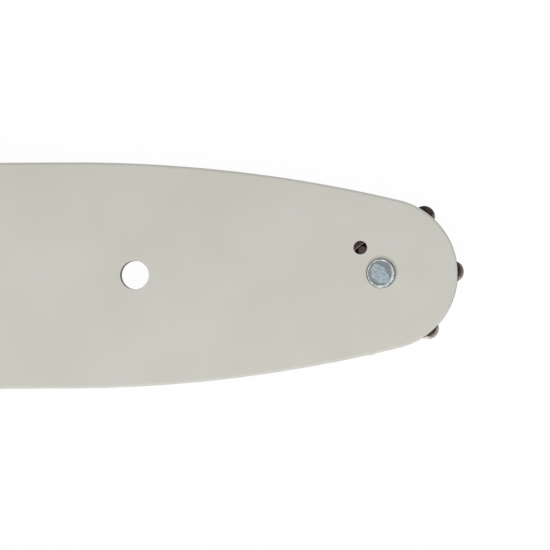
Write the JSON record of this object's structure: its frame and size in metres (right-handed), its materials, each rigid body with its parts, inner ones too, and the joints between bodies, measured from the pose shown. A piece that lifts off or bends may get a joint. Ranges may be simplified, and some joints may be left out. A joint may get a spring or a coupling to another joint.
{
  "type": "chainsaw guide bar",
  "caption": "Flat laminated chainsaw guide bar: grooved edge for the chain, free-turning sprocket nose on a riveted needle bearing, with a stud slot, tension holes and oil holes at the tail.",
  "frame": {"origin": "middle of the stud slot, at half the bar's thickness", "axes": "+X along the bar to the nose, +Y across the bar, +Z out of the upper face"},
  "size_m": [0.3665, 0.052, 0.0046],
  "materials": {
    "plate_coating": "satin light grey",
    "core_steel": "rolled, dull",
    "sprocket_steel": "dark brown oxide",
    "bearing_steel": "oiled, brown",
    "rivet_steel": "peened, bluish grey"
  },
  "bodies": {
    "bar": {"upper_side_plate": "plate_coating", "core_plate": "core_steel", "lower_side_plate": "plate_coating", "bearing_race": "bearing_steel", "nose_rivet": "rivet_steel"},
    "sprocket": {"nose_sprocket": "sprocket_steel"},
    "rollers": {"needle_roller_01": "bearing_steel", "needle_roller_02": "bearing_steel", "needle_roller_03": "bearing_steel", "needle_roller_04": "bearing_steel", "needle_roller_05": "bearing_steel", "needle_roller_06": "bearing_steel", "needle_roller_07": "bearing_steel", "needle_roller_08": "bearing_steel", "needle_roller_09": "bearing_steel", "needle_roller_10": "bearing_steel", "needle_roller_11": "bearing_steel", "needle_roller_12": "bearing_steel", "needle_roller_13": "bearing_steel", "needle_roller_14": "bearing_steel", "needle_roller_15": "bearing_steel", "needle_roller_16": "bearing_steel", "needle_roller_17": "bearing_steel"}
  },
  "joints": [
    {"name": "sprocket_spin", "type": "hinge", "parent": "bar", "child": "sprocket", "pos_m": [0.3095, 0, 0], "axis": [0, 0, 1], "continuous": true},
    {"name": "roller_orbit", "type": "hinge", "parent": "bar", "child": "rollers", "pos_m": [0.3095, 0, 0], "axis": [0, 0, 1], "continuous": true}
  ],
  "couplings": [
    {"joint": "roller_orbit", "follows": "sprocket_spin", "ratio": 0.58734}
  ]
}
